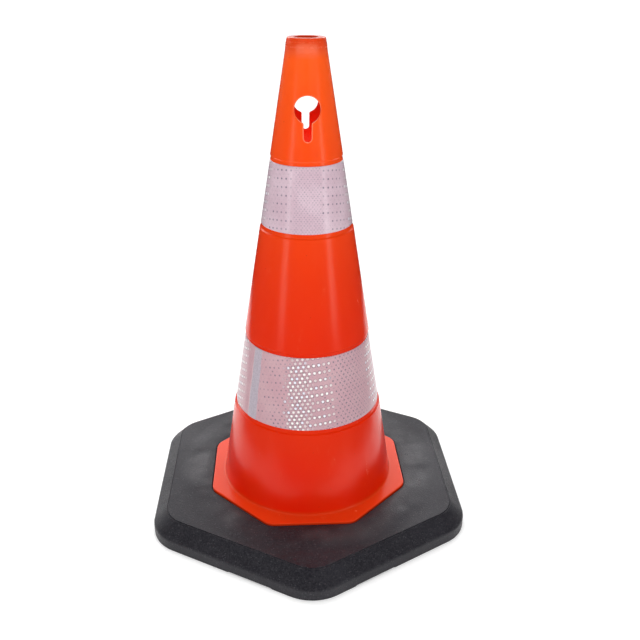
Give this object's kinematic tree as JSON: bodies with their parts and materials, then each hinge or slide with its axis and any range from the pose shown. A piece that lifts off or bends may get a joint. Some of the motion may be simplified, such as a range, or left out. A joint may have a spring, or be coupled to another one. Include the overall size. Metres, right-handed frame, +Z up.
{
  "type": "traffic cone",
  "caption": "Two-part road cone: orange shell with keyhole and octagonal foot flange, white prismatic sleeves and a bevelled black hexagonal base.",
  "frame": {"origin": "on the ground, under the middle of the base", "axes": "+Z up along the cone's axis; one corner of the hexagonal base and the front keyhole face -Y"},
  "size_m": [0.508, 0.565, 0.75],
  "materials": {
    "orange_polyethylene": "semi-gloss moulded polyethylene, fluorescent orange-red",
    "black_recycled_rubber": "matt, fine pebbled moulded grain",
    "prismatic_sheeting": "clear-faced micro-prismatic reflective sheeting, glossy, with a fine cell pattern"
  },
  "bodies": {
    "root": {"cone_body": "orange_polyethylene", "weighted_base": "black_recycled_rubber", "reflective_sleeve_upper": "prismatic_sheeting", "reflective_sleeve_lower": "prismatic_sheeting"}
  },
  "joints": []
}
